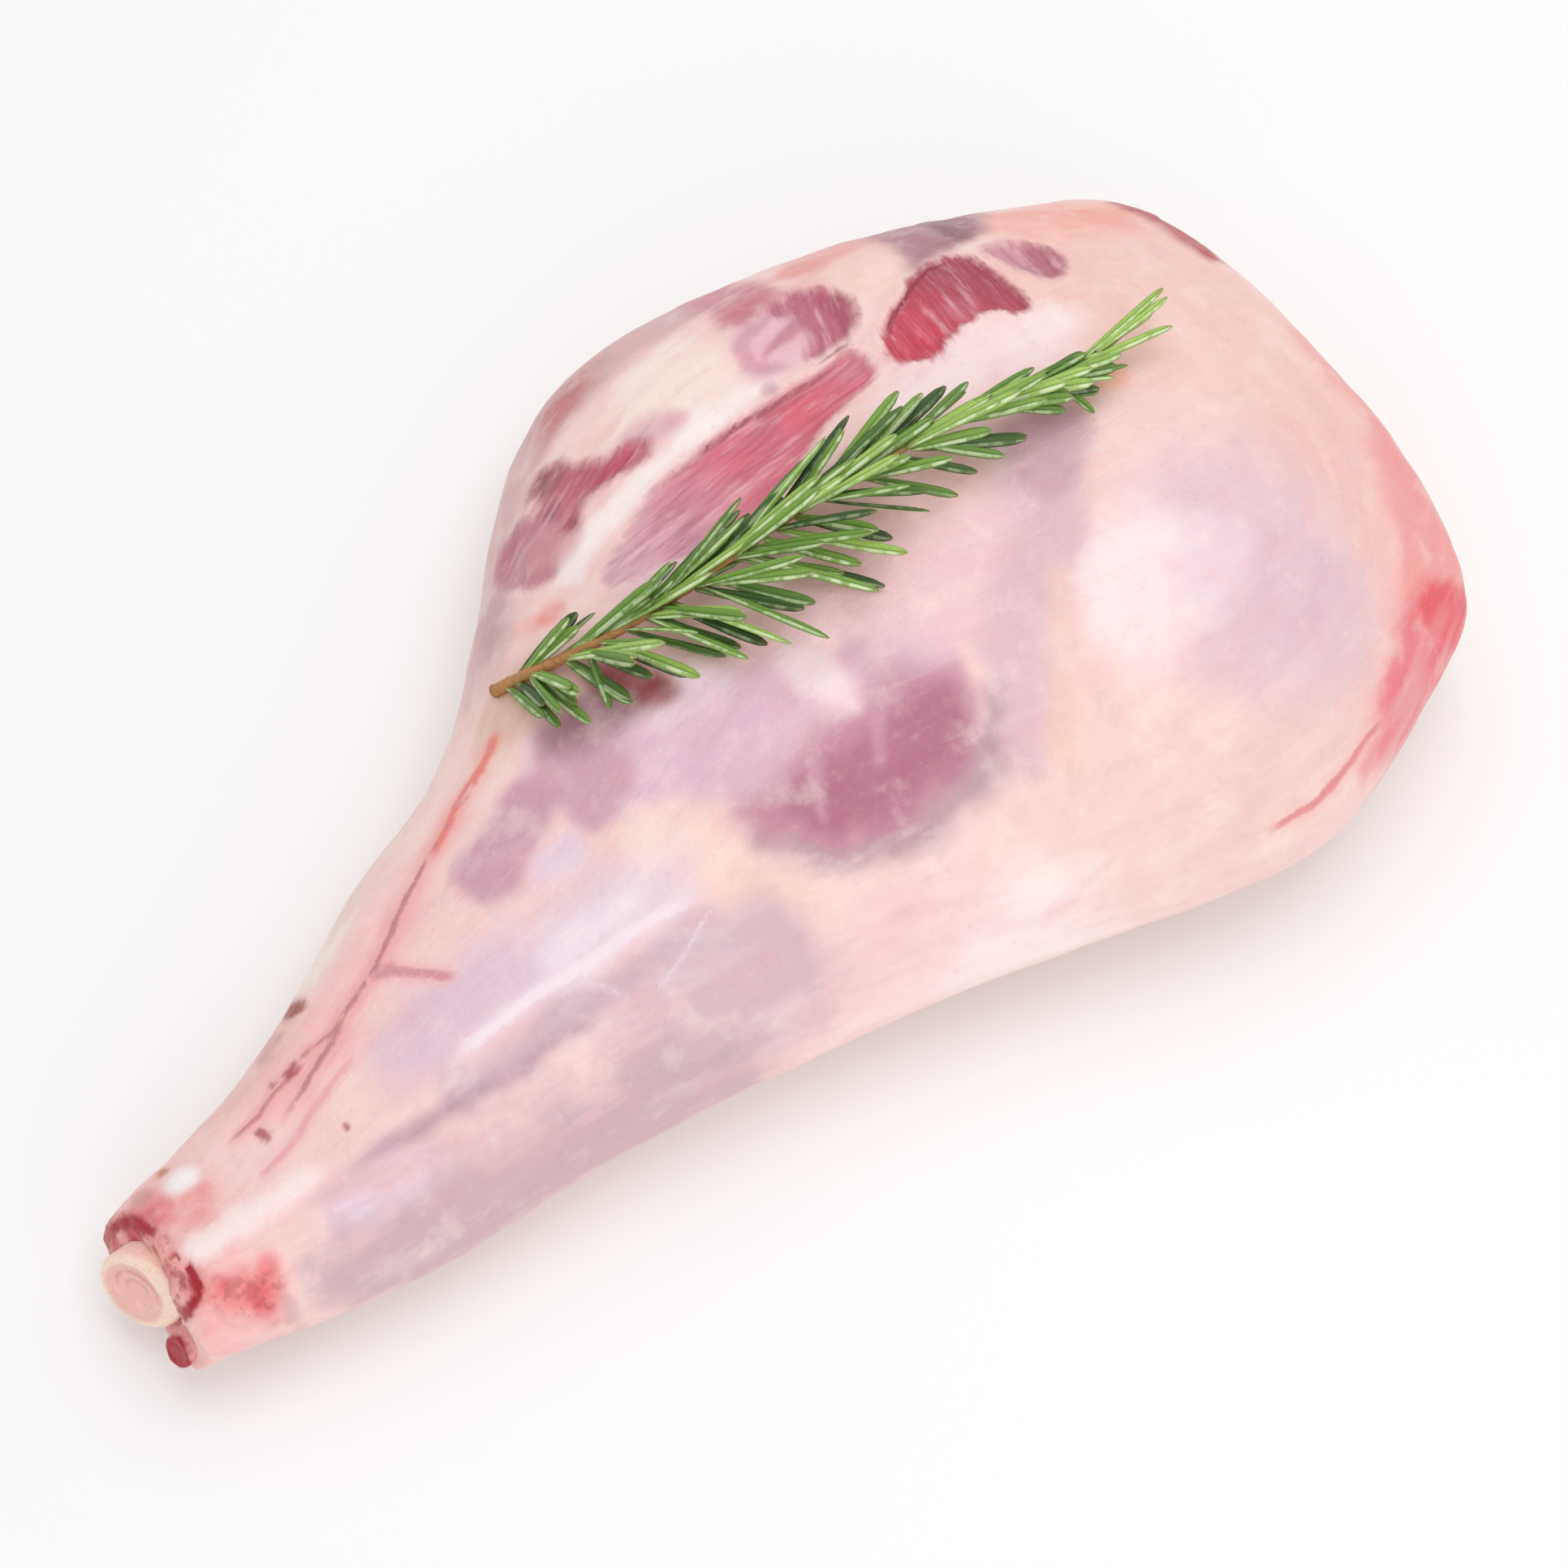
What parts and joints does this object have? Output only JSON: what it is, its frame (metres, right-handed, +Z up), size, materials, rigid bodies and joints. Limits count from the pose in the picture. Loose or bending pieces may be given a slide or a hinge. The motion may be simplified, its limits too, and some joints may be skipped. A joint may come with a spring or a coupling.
{
  "type": "raw leg of lamb",
  "caption": "Raw leg of lamb lying flat, thick rounded thigh narrowing to a sawn shank with its bone showing, and a sprig of rosemary laid over it.",
  "frame": {"origin": "middle of the underside's box, on the surface that the leg lies on", "axes": "+X along the leg from the sawn shank to the butt, +Y across it towards the thin inner edge, +Z up"},
  "size_m": [0.396, 0.2314, 0.1044],
  "materials": {
    "meat": "moist, soft sheen: pink and cream fat and fascia with bared red muscle",
    "bone": "sawn bone, pinkish with a cream rim, moist",
    "marrow": "dark red, wet",
    "rosemary": "matte green needles with pale undersides on a brown woody stem"
  },
  "bodies": {
    "root": {"leg_meat": "meat", "shank_bone": "bone", "heel_stub": "marrow", "rosemary_sprig": "rosemary"}
  },
  "joints": []
}
